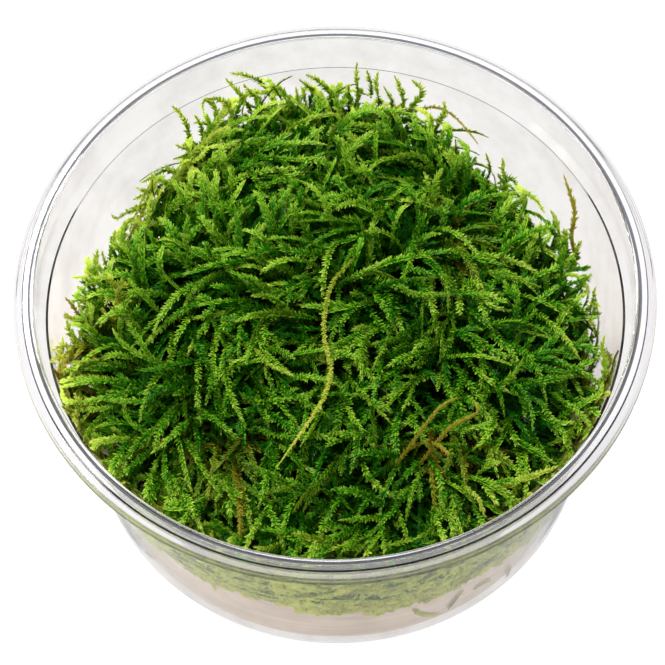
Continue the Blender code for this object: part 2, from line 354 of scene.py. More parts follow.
gel_edge = wall_inside(gel_depth) - gel_gap
gel_foot = (wall_inside(wall + gap) - gel_gap, wall + gap, inner_fillet)
gel_rings = [(gel_edge * share, gel_depth, 0.0) for share in gel_ring_shares]
gel_corners = [(0.0, wall + gap, 0.0), gel_foot, *gel_rings, (0.0, gel_depth, 0.0)]
gel_shape = turned(rounded(gel_corners, gel_fillet_steps), gel_steps)
for vertex in gel_shape.verts:
    if vertex.co.z > gel_depth - gap:
        vertex.co.z = gel_surface(vertex.co.x, vertex.co.y)
        flat = Vector((vertex.co.x, vertex.co.y))
        if flat.length > gel_edge - gap:
            flat *= (wall_inside(vertex.co.z) - gel_gap) / flat.length
            vertex.co.x, vertex.co.y = flat

pale_gel, gel_shader, gel_nodes, gel_links = new_paint("pale gel")
gel_shader.inputs["Roughness"].default_value = 0.4
gel_shader.inputs["IOR"].default_value = 1.34
gel_place = gel_nodes.new("ShaderNodeTexCoord")
gel_stretch = gel_nodes.new("ShaderNodeVectorMath")
gel_stretch.operation = "MULTIPLY"
gel_stretch.inputs[1].default_value = (45.0, 45.0, 700.0)
gel_links.new(gel_place.outputs["Object"], gel_stretch.inputs[0])
gel_streaks = gel_nodes.new("ShaderNodeTexNoise")
gel_streaks.inputs["Scale"].default_value = 1.0
gel_streaks.inputs["Detail"].default_value = 3.0
gel_links.new(gel_stretch.outputs["Vector"], gel_streaks.inputs["Vector"])
gel_color = gel_nodes.new("ShaderNodeValToRGB")
gel_color.color_ramp.elements[0].position = 0.35
gel_color.color_ramp.elements[0].color = (0.55, 0.445, 0.36, 1)
gel_color.color_ramp.elements[1].position = 0.65
gel_color.color_ramp.elements[1].color = (0.7, 0.585, 0.5, 1)
gel_links.new(gel_streaks.outputs["Fac"], gel_color.inputs["Fac"])
gel_links.new(gel_color.outputs["Color"], gel_shader.inputs["Base Color"])
finished("gel", gel_shape, pale_gel, "nutrient_gel")


# Moss mat. The heart of the clump is last season's growth, matted into a felt of old stems and painted near
# black as shade. It keeps the clump's form and shows only as shadow between the living shoots.
moss_crown = -1.0 * MM
moss_fall = 6.0 * MM
fall_curve = 2.4
moss_lump = 1.1 * MM
lump_size = 9.0 * MM
lump_slice = 0.5

# How far the clump reaches from the tub's middle, from the left past the front, the right and the back
reach_degrees = (-180, -160, -90, -30, -8, 12, 30, 48, 66, 85, 112, 124, 136, 150, 165, 180)
reach_millimetres = (40.5, 43.5, 44, 43.5, 40, 36, 33.5, 33, 36.5, 39, 40, 38.5, 34.5, 34.5, 36, 40.5)


def clump_reach(angle):
    """How far the clump reaches from the tub's middle at an angle, or at each of an array of angles."""
    return np.interp(np.degrees(angle), reach_degrees, reach_millimetres) * MM


def clump_top(x, y):
    """Height of the clump's lumpy top, which falls towards the wall."""
    share = min(math.hypot(x, y) / ledge_radius, 1.0)
    lump = noise.noise(Vector((x / lump_size, y / lump_size, lump_slice)))
    return rim + moss_crown - moss_fall * share**fall_curve + moss_lump * lump


mat_inset = 3.0 * MM
mat_depth = 5.0 * MM
mat_detail = 6
top_end = math.radians(70)
flank_end = math.radians(112)
rough_size = 2.2 * MM
fine_size = 0.9 * MM
fine_share = 0.6
rough_height = 0.7 * MM


def mat_point(direction):
    """Where a point of a round ball goes on the mat: to its top, down its flank or to its foot."""
    polar = math.acos(max(-1.0, min(1.0, direction.z)))
    angle = math.atan2(direction.y, direction.x)
    reach = clump_reach(angle) - mat_inset
    down = min(max((polar - top_end) / (flank_end - top_end), 0.0), 1.0)
    if down == 0.0:
        radius = reach * math.sin(polar / 2) / math.sin(top_end / 2)
    elif down == 1.0:
        radius = (reach - mat_inset) * math.sin((math.pi - polar) / 2) / math.sin((math.pi - flank_end) / 2)
    else:
        radius = reach - mat_inset * down
    x, y = radius * math.cos(angle), radius * math.sin(angle)
    high = clump_top(x, y) - mat_depth
    low = gel_surface(x, y) + gap
    return Vector((x, y, high + (low - high) * down))


mat_shape = bmesh.new()
bmesh.ops.create_icosphere(mat_shape, subdivisions=mat_detail, radius=1.0)
for vertex in mat_shape.verts:
    vertex.co = mat_point(vertex.co.normalized())
mat_shape.normal_update()
for vertex in mat_shape.verts:
    rough = noise.noise(vertex.co / rough_size) + fine_share * noise.noise(vertex.co / fine_size)
    vertex.co += vertex.normal * rough * rough_height

# The felt's near black colour is painted shade
shade_felt, shade_felt_shader = new_paint("old moss felt painted shade")[:2]
shade_felt_shader.inputs["Base Color"].default_value = (0.004, 0.022, 0.001, 1)
shade_felt_shader.inputs["Roughness"].default_value = 1.0
shade_felt_shader.inputs["Specular IOR Level"].default_value = 0.0
finished("moss_mat", mat_shape, shade_felt, "moss_clump")


# Shoots over the top. Each is a thin stem with rows of small pointed leaves that overlap like scales. It
# leaves its root under the surface, arches over its neighbours in broad swirls and comes down at its tip.
# They grow in three layers: deep ones, dark with age and with painted shade, the middle growth, and the
# bright young shoots on top.
draw = np.random.default_rng(7)
picture_side = 665.0
path_points = 14
smooth_steps = 8
stem_clearance = 0.3 * MM
leaf_clearance = 0.1 * MM
moss_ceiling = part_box("moss_clump")[1].z - 0.02 * MM


def leaf_form(points, faces, painted_light_steps):
    """A leaf's points and faces, and how much darker each point is painted than the leaf, as arrays: painted
    shade at the base, a painted highlight at the tip.
    """
    return np.array(points), np.array(faces), np.array(painted_light_steps)


# Three forms of leaf, with the base at the origin and the tip along x: one folded along its middle, a broad
# flat one, and a narrow one for the shoots further down. Each has painted shade at its base and a painted
# highlight at its tip.
folded_leaf = leaf_form(
    [(0.0, 0.0, 0.0), (0.34, 0.5, -0.1), (0.34, -0.5, -0.1), (1.0, 0.0, 0.18)],
    [(0, 2, 3), (0, 3, 1)],
    [0.26, 0.05, 0.05, -0.3],
)
broad_leaf = leaf_form(
    [(0.0, 0.0, 0.0), (0.4, 0.9, 0.0), (0.4, -0.9, 0.0), (1.2, 0.0, 0.05)],
    [(0, 2, 3), (0, 3, 1)],
    [0.1, 0.0, 0.0, -0.1],
)
narrow_leaf = leaf_form(
    [(0.0, 0.5, 0.0), (0.0, -0.5, 0.0), (1.0, 0.0, 0.12)],
    [(0, 1, 2)],
    [0.18, 0.18, -0.22],
)

# Rows of leaves round a stem: the side they stand on in degrees from the shoot's flat side, how far they
# spread from the stem in degrees, their size, and their place between the leaves of the next row
full_rows = [
    (5.0, 41.0, 1.0, 0.0),
    (175.0, 41.0, 1.0, 0.5),
    (60.0, 27.0, 0.95, 0.25),
    (120.0, 27.0, 0.95, 0.75),
]
plain_rows = [(10.0, 42.0, 1.0, 0.0), (170.0, 42.0, 1.0, 0.5), (90.0, 26.0, 0.95, 0.25)]
flat_rows = [(15.0, 42.0, 1.0, 0.0), (165.0, 42.0, 1.0, 0.5)]


def unit(vectors):
    """The vectors made one long."""
    return vectors / np.maximum(np.linalg.norm(vectors, axis=-1, keepdims=True), 1e-12)


def seen_at(x, y, height):
    """The place at a height that shows at a point of the square picture."""
    across, down = (((value / picture_side) - 0.5) * sensor_width / camera_lens for value in (x, y))
    ray = camera_turn.to_3x3() @ Vector((across, -down, -1.0))
    return camera_place + ray * (height - camera_place.z) / ray.z


def seen_on_moss(x, y, lift):
    """The place over the clump's top, lifted off it, that shows at a point of the picture."""
    height = rim
    for step in range(6):
        place = seen_at(x, y, height)
        height = clump_top(place.x, place.y) + lift
    return seen_at(x, y, height)


def kept_inside(points, clearance):
    """The points, drawn in where they would stand nearer to the wall than the clearance, or too high."""
    points = points.copy()
    points[..., 2] = np.minimum(points[..., 2], moss_ceiling)
    limit = wall_inside(points[..., 2]) - clearance
    radius = np.hypot(points[..., 0], points[..., 1])
    scale = np.minimum(1.0, limit / np.maximum(radius, 1e-9))
    points[..., 0] *= scale
    points[..., 1] *= scale
    return points


def even_path(points):
    """A smooth line through a few points, as evenly spaced points."""
    points = np.asarray(points, float)
    knots = np.concatenate([[0], np.cumsum(np.linalg.norm(np.diff(points, axis=0), axis=1))])
    slopes = np.gradient(points, knots, axis=0)
    fine = np.linspace(0, knots[-1], smooth_steps * len(points))
    place = np.clip(np.searchsorted(knots, fine, side="right") - 1, 0, len(points) - 2)
    span = (knots[place + 1] - knots[place])[:, None]
    share = (fine - knots[place])[:, None] / span
    smooth = (
        (2 * share**3 - 3 * share**2 + 1) * points[place]
        + (share**3 - 2 * share**2 + share) * span * slopes[place]
        + (3 * share**2 - 2 * share**3) * points[place + 1]
        + (share**3 - share**2) * span * slopes[place + 1]
    )
    knots = np.concatenate([[0], np.cumsum(np.linalg.norm(np.diff(smooth, axis=0), axis=1))])
    even = np.linspace(0, knots[-1], path_points)
    return np.stack([np.interp(even, knots, smooth[:, axis]) for axis in range(3)], axis=1)


stem_radius = 0.12 * MM
stem_tip_share = 0.35
stem_corners = 3
stem_rings = 8
stem_places = np.linspace(0, path_points - 1, stem_rings).round().astype(int)


def stems(paths, sides, facing, size):
    """The stems of shoots as slender tubes that taper to the tip: their points and their triangles."""
    around = np.arange(stem_corners) * 2 * math.pi / stem_corners
    thickness = stem_radius * size[:, None] * np.linspace(1.0, stem_tip_share, stem_rings)[None]
    points = paths[:, stem_places, None] + thickness[..., None, None] * (
        np.cos(around)[None, None, :, None] * sides[:, stem_places, None]
        + np.sin(around)[None, None, :, None] * facing[:, stem_places, None]
    )
    number, ring, corner = np.meshgrid(
        np.arange(len(paths)), np.arange(stem_rings - 1), np.arange(stem_corners), indexing="ij"
    )
    here = (number * stem_rings + ring) * stem_corners
    beyond = here + stem_corners
    follow = (corner + 1) % stem_corners
    quad = np.stack([here + corner, here + follow, beyond + follow, beyond + corner], -1).reshape(-1, 4)
    return points.reshape(-1, 3), np.concatenate([quad[:, [0, 1, 2]], quad[:, [0, 2, 3]]])


def joined(name, points, faces, labels, material):
    """Points, triangles and labelled values at the points as one piece of the moss."""
    mesh = bpy.data.meshes.new(name)
    mesh.vertices.add(len(points))
    mesh.vertices.foreach_set("co", points.astype(np.float32).ravel())
    mesh.loops.add(3 * len(faces))
    mesh.loops.foreach_set("vertex_index", faces.astype(np.int32).ravel())
    mesh.polygons.add(len(faces))
    mesh.polygons.foreach_set("loop_start", np.arange(0, 3 * len(faces), 3, dtype=np.int32))
    mesh.update(calc_edges=True)
    for label, values in labels.items():
        attribute = mesh.attributes.new(label, "FLOAT", "POINT")
        attribute.data.foreach_set("value", np.clip(values, 0, 1).astype(np.float32))
    mesh.materials.append(material)
    piece = placed(name, mesh)
    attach(piece, "root")


fewest_leaves = 4
leaf_spacing = 0.3 * MM
leaf_length = 0.7 * MM
leaf_width = 0.5
leaf_lie = 0.9
leaf_lean = 0.35
place_scatter = 0.2
opening_scatter = 0.18
age_scatter = 0.09
length_range = (0.72, 1.28)
taper_places = (0, 0.12, 0.55, 0.85, 1)
taper_sizes = (0.6, 0.9, 1.0, 0.8, 0.5)
bud_start = 0.8
bud_length = 0.2
bud_closing = 0.8
tip_youth = 0.3
stem_age = 0.2
stem_warmth = 0.2


def leafy(name, shoots, rows, leaf, material):
    """One joined piece of leafy shoots, each a dict of its path, its size and how its leaves stand."""
    leaf_points, leaf_faces, leaf_painted_light_steps = leaf
    paths = kept_inside(np.array([each["path"] for each in shoots]), stem_clearance)
    lengths = np.linalg.norm(np.diff(paths, axis=1), axis=2).sum(1)
    tangents = unit(np.gradient(paths, axis=1))
    facing = np.array([each["facing"] for each in shoots])[:, None, :]
    facing = unit(facing - (facing * tangents).sum(-1, keepdims=True) * tangents)
    size, spread, roll, twist, warm = (
        np.array([each[key] for each in shoots]) for key in ("size", "spread", "roll", "twist", "warm")
    )
    age_and_shade = np.array([np.broadcast_to(each["age_and_shade"], path_points) for each in shoots])

    # Each leaf's shoot, and its number on that shoot
    counts = np.maximum((lengths / (leaf_spacing * size)).astype(int), fewest_leaves)
    which = np.repeat(np.arange(len(shoots)), counts)
    order = np.arange(counts.sum()) - np.repeat(np.cumsum(counts) - counts, counts)
    points, faces, ages_and_shades, warms = [], [], [], []
    start = 0
    for side, opening, scale, phase in rows:
        along = order + phase + draw.uniform(-place_scatter, place_scatter, len(order))
        along = np.clip(along / counts[which], 0, 1)
        place = along * (path_points - 1)
        first = np.minimum(place.astype(int), path_points - 2)
        share = (place - first)[:, None]
        base, tangent, up = (
            values[which, first] * (1 - share) + values[which, first + 1] * share
            for values in (paths, tangents, facing)
        )
        tangent, up = unit(tangent), unit(up)
        across = unit(np.cross(tangent, up))
        turn = (roll[which] + twist[which] * along)[:, None]
        up, across = up * np.cos(turn) + across * np.sin(turn), across * np.cos(turn) - up * np.sin(turn)
        outward = across * math.cos(math.radians(side)) + up * math.sin(math.radians(side))
        closing = 1 - bud_closing * np.clip((along - bud_start) / bud_length, 0, 1) ** 1.5
        opened = np.radians(opening) * spread[which] * closing
        opened = (opened + draw.normal(0, opening_scatter, len(order)))[:, None]
        direction = tangent * np.cos(opened) + outward * np.sin(opened)
        flat = up * leaf_lie + outward * leaf_lean
        normal = unit(flat - (flat * direction).sum(-1, keepdims=True) * direction)
        wide = leaf_width * np.cross(normal, direction)
        taper = np.interp(along, taper_places, taper_sizes)
        length = leaf_length * size[which] * scale * taper * draw.uniform(*length_range, len(order))
        blades = base[:, None] + length[:, None, None] * sum(
            leaf_points[None, :, axis, None] * vectors[:, None]
            for axis, vectors in enumerate((direction, wide, normal))
        )
        points.append(blades.reshape(-1, 3))
        numbers = start + len(leaf_points) * np.arange(len(order))
        faces.append((numbers[:, None, None] + leaf_faces[None]).reshape(-1, 3))
        start += len(leaf_points) * len(order)
        leaf_age_and_shade = age_and_shade[which, first] + tip_youth * (0.5 - along) + draw.normal(0, age_scatter, len(order))
        # Painted shade at each leaf's base and a painted highlight at its tip
        ages_and_shades.append((leaf_age_and_shade[:, None] + leaf_painted_light_steps[None]).ravel())
        warms.append(np.repeat(warm[which], len(leaf_points)))

    stem_points, stem_faces = stems(paths, np.cross(tangents, facing), facing, size)
    points.append(stem_points)
    faces.append(start + stem_faces)
    ages_and_shades.append(np.repeat(age_and_shade[:, stem_places] + stem_age, stem_corners))
    warms.append(np.repeat(warm + stem_warmth, stem_rings * stem_corners))
    labels = {"age_and_shade": np.concatenate(ages_and_shades), "warm": np.concatenate(warms)}
    points = kept_inside(np.concatenate(points), leaf_clearance)
    joined(name, points, np.concatenate(faces), labels, material)


# A leaf is yellow green when it is young and dark green when it is old, and brown where it has died back. It
# lets some light through, the more so the younger it is.
moss_leaf, leaf_shader, leaf_nodes, leaf_links = new_paint("moss leaf")
leaf_shader.inputs["Roughness"].default_value = 0.4
leaf_shader.inputs["Specular IOR Level"].default_value = 0.08
# The age and shade value sets the leaf's colour: its age, with painted shade deeper in the clump, painted
# light at the clump's edge and lit side, and painted highlights at the leaf tips
leaf_age_and_shade = leaf_nodes.new("ShaderNodeAttribute")
leaf_age_and_shade.attribute_name = "age_and_shade"
leaf_warm = leaf_nodes.new("ShaderNodeAttribute")
leaf_warm.attribute_name = "warm"
leaf_ramp = leaf_nodes.new("ShaderNodeValToRGB")
ramp = leaf_ramp.color_ramp
ramp.elements[0].position = 0.0
ramp.elements[0].color = (0.6, 0.72, 0.11, 1)
ramp.elements[1].position = 1.0
ramp.elements[1].color = (0.002, 0.022, 0.0005, 1)
for position, color in (
    (0.17, (0.17, 0.4, 0.008)),
    (0.38, (0.026, 0.17, 0.004)),
    (0.62, (0.005, 0.075, 0.001)),
):
    ramp.elements.new(position).color = (*color, 1)
leaf_links.new(leaf_age_and_shade.outputs["Fac"], leaf_ramp.inputs["Fac"])
leaf_brown = leaf_nodes.new("ShaderNodeMix")
leaf_brown.data_type = "RGBA"
leaf_brown.inputs["B"].default_value = (0.42, 0.15, 0.02, 1)
leaf_links.new(leaf_warm.outputs["Fac"], leaf_brown.inputs["Factor"])
leaf_links.new(leaf_ramp.outputs["Color"], leaf_brown.inputs["A"])
leaf_links.new(leaf_brown.outputs["Result"], leaf_shader.inputs["Base Color"])
leaf_glow = leaf_nodes.new("ShaderNodeBsdfTranslucent")
leaf_bright = leaf_nodes.new("ShaderNodeHueSaturation")
leaf_bright.inputs["Hue"].default_value = 0.48
leaf_bright.inputs["Value"].default_value = 1.5
leaf_links.new(leaf_brown.outputs["Result"], leaf_bright.inputs["Color"])
leaf_links.new(leaf_bright.outputs["Color"], leaf_glow.inputs["Color"])
leaf_thin = leaf_nodes.new("ShaderNodeMapRange")
leaf_thin.inputs["From Max"].default_value = 0.5
leaf_thin.inputs["To Min"].default_value = 0.35
leaf_thin.inputs["To Max"].default_value = 0.2
leaf_links.new(leaf_age_and_shade.outputs["Fac"], leaf_thin.inputs["Value"])
leaf_mix = leaf_nodes.new("ShaderNodeMixShader")
leaf_links.new(leaf_thin.outputs["Result"], leaf_mix.inputs["Fac"])
leaf_links.new(leaf_shader.outputs["BSDF"], leaf_mix.inputs[1])
leaf_links.new(leaf_glow.outputs["BSDF"], leaf_mix.inputs[2])
leaf_links.new(leaf_mix.outputs["Shader"], leaf_nodes["Material Output"].inputs["Surface"])

golden_angle = math.radians(137.5)
swirl_size = 21.0 * MM
swirl_slice = 3.7
swirl_reach = 40.0 * MM
swirl_turn = 5.2
swirl_calm = 3.4
wall_near = 42.0 * MM
wall_overhang = 1.8 * MM
over_pull = 0.8
root_dip = 0.28
root_share = 0.45
root_margin = 0.5 * MM
heading_scatter = 0.55
curl_scatter = 0.9

# Side shoots: where along a main shoot they start, how wide in radians they open, how long they are for its
# length, and their bend forward, up and down
branch_first = 0.25
branch_span = 0.55
branch_openings = (0.65, 1.05)
branch_lengths = (0.26, 0.45)
branch_bend = 0.3
branch_rises = (0.0, 0.35)
branch_falls = (0.1, 0.5)

# What makes shoots look young or old, with painted light and shade in it: how deep they lie (older, and
# painted shade), how near they are to the clump's edge and to its lit side (painted light), and a patch of
# dense growth at the front left (painted light on its deeper shoots, painted shade on its top ones)
age_and_shade_per_depth = 0.09 / MM
side_painted_light_strength = 0.05
side_reach = 34.0 * MM
painted_light_side = math.radians(140)
edge_painted_light_strength = 0.26
edge_start = 0.72
edge_width = 0.3
edge_sway = 0.6
dense_painted_light = 0.36
dense_painted_shade = 0.1
dense_place = Vector((-21, -23)) * MM
dense_size = 15.0 * MM
dense_depth = 2.0 * MM

# Where old brown shoots show in the picture, and how large these spots and the other brown patches are
brown_seen = [(225, 430), (490, 500), (590, 400), (105, 245), (95, 330), (105, 400), (458, 422)]
brown_places = [seen_on_moss(x, y, 0.0) for x, y in brown_seen]
brown_spot = 6.0 * MM
brown_size = 7.0 * MM
brown_slice = 8.1
brown_most = 0.8
brown_start = 0.3


def swirl(x, y):
    """Heading of the shoots at a place: outward near the edge, and in broad eddies in the middle."""
    outward = math.atan2(y, x)
    share = min(math.hypot(x, y) / swirl_reach, 1.0)
    eddy = noise.noise(Vector((x / swirl_size, y / swirl_size, swirl_slice)))
    return outward + eddy * (swirl_turn - swirl_calm * share)


def browned(x, y):
    """How brown the shoots are at a place: old and sunburnt patches."""
    near = min(math.hypot(x - place.x, y - place.y) for place in brown_places)
    patchy = noise.noise(Vector((x / brown_size, y / brown_size, brown_slice)))
    return max(0.0, brown_most - near / brown_spot) + max(0.0, brown_most * patchy - brown_start)


def shoot(path, size, spread, roll, twist, age_and_shade, warm, facing):
    """A shoot: its path, its leaves' size and spread, its turn and twist about its stem in radians, its age
    and painted shade (0 young or lit, 1 old or shaded) all along or at each path point, how brown it is, and
    the way its flat side faces."""
    return dict(
        path=path, size=size, spread=spread, roll=roll, twist=twist, age_and_shade=age_and_shade, warm=warm, facing=facing
    )


def draped(x, y, heading, curl, length, base, arch, overhang):
    """A path over the clump from a root under its surface, and how far each point lies below it."""
    share = np.linspace(0, 1, path_points)
    headings = heading + curl * share
    step = np.stack([np.cos(headings), np.sin(headings)], axis=1)
    walk = np.concatenate([[[0, 0]], np.cumsum((step[:-1] + step[1:]) / 2, axis=0)])
    flat = np.array([x, y]) + walk * length / (path_points - 1)
    radius = np.hypot(flat[:, 0], flat[:, 1])
    reach = clump_reach(np.arctan2(flat[:, 1], flat[:, 0]))
    limit = reach + np.where(reach > wall_near, wall_overhang, overhang)
    over = np.maximum(radius - limit, 0)
    flat *= ((radius - over_pull * over) / np.maximum(radius, 1e-6))[:, None]
    surface = np.array([clump_top(*point) for point in flat])
    lift = base + 4 * arch * share * (1 - share) - root_dip * length * (1 - share) ** 3
    return np.column_stack([flat, surface + lift]), -lift


def side_shoots(main, facing, length, number, age_and_shade, size, warm):
    """Short shoots on both sides of a main one, which bend forward along it."""
    tangents = unit(np.gradient(main, axis=0))
    sign = 1 if draw.random() < 0.5 else -1
    share = np.linspace(0, 1, path_points)[:, None]
    parts = []
    for order in range(number):
        place = branch_first + branch_span * (order + draw.uniform(0.1, 0.9)) / number
        first = int(place * (path_points - 1))
        sign = -sign
        ahead = tangents[first]
        aside = unit(np.cross(ahead, facing)) * sign
        opening = draw.uniform(*branch_openings)
        heading = ahead * math.cos(opening) + aside * math.sin(opening)
        own = length * draw.uniform(*branch_lengths) * (1.2 - 0.6 * place)
        rise = draw.uniform(*branch_rises) * share - draw.uniform(*branch_falls) * share**2
        bend = (ahead - heading) * branch_bend * share**2
        path = main[first] + own * (heading * share + bend + np.array([0, 0, 1.0]) * rise)
        own_size = size * draw.uniform(0.8, 1.0)
        spread = draw.uniform(0.85, 1.15)
        roll = draw.normal(0, 0.4)
        twist = draw.normal(0, 0.4)
        own_age_and_shade = np.interp(place, np.linspace(0, 1, path_points), age_and_shade) + draw.normal(0, 0.05)
        parts.append(shoot(path, own_size, spread, roll, twist, own_age_and_shade, warm, facing))
    return parts


def grown_layer(count, lengths, bases, arches, ages_and_shades, sizes, branched, overhang):
    """Shoots spread evenly over the whole top of the clump. Their lengths, the height of their base and of
    their arch over the surface and their reach past the clump's edge are in millimetres."""
    grown = []
    start_turn = draw.uniform(0, 2 * math.pi)
    for number in range(count):
        turn = math.remainder(number * golden_angle + start_turn, 2 * math.pi)
        radius = (clump_reach(turn) + root_margin) * math.sqrt((number + 0.5) / count)
        x = radius * math.cos(turn) + draw.normal(0, 1.0) * MM
        y = radius * math.sin(turn) + draw.normal(0, 1.0) * MM
        heading = swirl(x, y) + draw.normal(0, heading_scatter)
        length = draw.uniform(*lengths) * MM
        x -= root_share * length * math.cos(heading)
        y -= root_share * length * math.sin(heading)
        base = draw.uniform(*bases) * MM
        arch = draw.uniform(*arches) * MM
        curl = draw.normal(0, curl_scatter)
        path, depth = draped(x, y, heading, curl, length, base, arch, overhang * MM)
        # Painted light on shoots near the clump's edge, strongest towards its lit side
        edge_share = np.hypot(path[:, 0], path[:, 1]) / clump_reach(turn)
        edge_painted_light = edge_painted_light_strength * np.clip((edge_share - edge_start) / edge_width, 0, 1.2) ** 2
        edge_painted_light *= 1 + edge_sway * math.cos(turn - painted_light_side)
        # Painted light on shoots towards the clump's lit side
        towards = x * math.cos(painted_light_side) + y * math.sin(painted_light_side)
        side_painted_light = side_painted_light_strength * min(max(towards / side_reach, 0.0), 1.0)
        # Painted light on the deeper shoots and painted shade on the top ones in a patch at the front left
        patch = math.exp(-((x - dense_place.x) ** 2 + (y - dense_place.y) ** 2) / dense_size**2)
        dense_painted_light_and_shade = patch * (dense_painted_light * np.clip(depth / dense_depth, 0, 1) - dense_painted_shade)
        # Deeper shoots are darker: partly older growth, partly painted shade
        age_and_shade = draw.uniform(*ages_and_shades) + age_and_shade_per_depth * np.maximum(depth, 0)
        age_and_shade = age_and_shade - edge_painted_light - side_painted_light - dense_painted_light_and_shade
        warm = browned(x, y) * draw.uniform(0.2, 1.2)
        size = draw.uniform(*sizes)
        facing = unit(np.array([draw.normal(0, 0.35), draw.normal(0, 0.35), 1.0]))
        spread = draw.uniform(0.8, 1.15)
        roll = draw.normal(0, 0.4)
        twist = draw.normal(0, 0.5)
        grown.append(shoot(path, size, spread, roll, twist, age_and_shade, warm, facing))
        if draw.random() < branched:
            grown += side_shoots(path, facing, length, int(draw.integers(2, 6)), age_and_shade, size, warm)
    return grown


deep_growth = grown_layer(
    count=1100, lengths=(7, 12), bases=(-4.2, -2.6), arches=(0.3, 1.2),
    ages_and_shades=(0.55, 0.75), sizes=(1.3, 1.6), branched=0.0, overhang=-2.0,
)
leafy("moss_shoots_deep", deep_growth, flat_rows, narrow_leaf, moss_leaf)
for part in ("first", "second"):
    middle_growth = grown_layer(
        count=650, lengths=(8, 14), bases=(-3.0, -1.3), arches=(0.5, 1.6),
        ages_and_shades=(0.42, 0.64), sizes=(1.2, 1.5), branched=0.1, overhang=-1.2,
    )
    leafy("moss_shoots_middle_" + part, middle_growth, full_rows, narrow_leaf, moss_leaf)
for part in ("first", "second", "third"):
    top_growth = grown_layer(
        count=210, lengths=(9, 17), bases=(-1.2, 0.4), arches=(0.8, 2.4),
        ages_and_shades=(0.2, 0.54), sizes=(1.1, 1.5), branched=0.15, overhang=1.2,
    )
    leafy("moss_shoots_top_" + part, top_growth, full_rows, folded_leaf, moss_leaf)


# Shoots at the edge of the clump that stand out one by one against the tub, with light coming through them.
# Each is followed in the picture from its tip to where it leaves the clump. Their tips stand up towards the
# rim, highest at the back, and two lists keep the young shoots and the old ones apart.
young_edge_seen = [
    [(173, 107), (183, 117), (188, 129), (189, 142)],
    [(195, 116), (200, 124), (204, 137)],
    [(204, 115), (203, 102), (207, 99), (216, 111), (214, 131)],
    [(207, 99), (217, 99), (227, 103), (232, 116), (235, 131)],
    [(227, 80), (235, 89), (244, 99), (249, 108)],
    [(231, 73), (244, 75), (256, 79), (264, 85)],
    [(244, 85), (251, 93), (260, 102)],
    [(176, 145), (184, 149), (194, 149)],
    [(173, 159), (182, 156), (194, 154)],
    [(180, 166), (189, 162), (199, 159)],
    [(165, 166), (171, 171), (180, 173)],
    [(142, 182), (149, 179), (159, 173), (170, 171)],
    [(137, 188), (144, 191), (157, 188), (168, 182)],
    [(135, 199), (144, 195), (157, 193), (170, 195)],
    [(129, 209), (149, 203), (168, 198)],
    [(112, 215), (116, 219), (124, 214), (134, 210), (149, 207)],
    [(115, 232), (113, 242), (110, 253), (110, 260)],
    [(98, 251), (96, 260), (97, 278), (101, 284)],
    [(102, 252), (107, 266)],
    [(89, 274), (92, 281), (95, 291)],
    [(81, 297), (85, 305), (89, 314)],
    [(67, 321), (69, 329), (75, 339), (83, 346)],
    [(78, 364), (87, 361)],
    [(66, 369), (73, 371), (83, 375)],
    [(75, 394), (80, 402), (87, 409)],
    [(299, 80), (305, 84), (314, 93)],
    [(307, 75), (314, 78), (323, 85), (330, 94)],
    [(296, 88), (297, 97), (298, 103)],
    [(348, 85), (349, 96)],
    [(357, 64), (356, 74), (357, 85), (358, 96)],
    [(367, 70), (369, 77), (371, 85)],
    [(378, 73), (376, 84), (378, 96), (379, 103)],
    [(384, 87), (388, 94), (392, 103)],
    [(395, 77), (399, 85), (403, 97), (403, 108)],
    [(413, 81), (420, 87), (422, 93), (416, 102), (409, 111)],
    [(444, 103), (445, 111), (440, 120), (435, 131)],
    [(430, 115), (429, 126)],
    [(486, 154), (489, 162), (490, 172)],
    [(503, 160), (503, 171), (506, 181)],
    [(544, 212), (536, 200), (521, 190), (509, 178)],
    [(551, 211), (556, 221), (559, 234), (563, 248), (566, 259)],
    [(564, 230), (566, 243), (567, 254)],
    [(581, 242), (577, 248), (577, 259)],
    [(591, 274), (585, 281)],
    [(595, 289), (593, 298), (590, 307)],
    [(600, 306), (593, 304), (588, 310)],
    [(589, 317), (594, 327), (597, 334)],
    [(604, 337), (602, 349), (605, 363), (602, 379)],
]
old_edge_seen = [
    [(66, 298), (72, 305), (78, 314), (84, 318)],
    [(478, 144), (468, 131), (459, 121), (448, 112), (435, 107), (425, 108), (414, 112)],
    [(564, 176), (569, 191), (574, 207), (574, 222), (571, 234), (574, 256)],
]
back_start = 22.0 * MM
back_tip_drop = 0.6 * MM
back_root_drop = 5.3 * MM
side_tip_drop = 3.1 * MM
side_root_drop = 6.1 * MM
edge_bend = 1.3
root_length = 2.4 * MM
root_inward = 1.3
root_down = 0.7
edge_root_age = 0.14

# Both kinds of edge shoot: where they show, how wide and how brown they are, and the age of their tips
edge_kinds = [(young_edge_seen, 1.6, 0.03, 0.0), (old_edge_seen, 1.05, 0.45, 0.1)]


def edge_path(seen):
    """The way of an edge shoot from its root, which is hidden in the clump, to its tip."""
    root = seen_at(*seen[-1], rim - back_root_drop)
    if root.y > back_start:
        tip_drop, root_drop = back_tip_drop, back_root_drop
    else:
        tip_drop, root_drop = side_tip_drop, side_root_drop
    trace = []
    for number, (x, y) in enumerate(seen):
        share = number / (len(seen) - 1)
        trace.append(seen_at(x, y, rim - tip_drop - (root_drop - tip_drop) * share**edge_bend))
    outward = Vector((root.x, root.y, 0)).normalized()
    inward = (trace[-1] - trace[-2]).normalized() - root_inward * outward
    trace.append(trace[-1] + root_length * (inward.normalized() + Vector((0, 0, -root_down))).normalized())
    return even_path(trace[::-1])


# Leaves that stand free against the light let more of it through
thin_leaf = moss_leaf.copy()
thin_leaf.name = "thin moss leaf"
thin_leaf.node_tree.nodes[leaf_thin.name].inputs["To Min"].default_value = 0.5

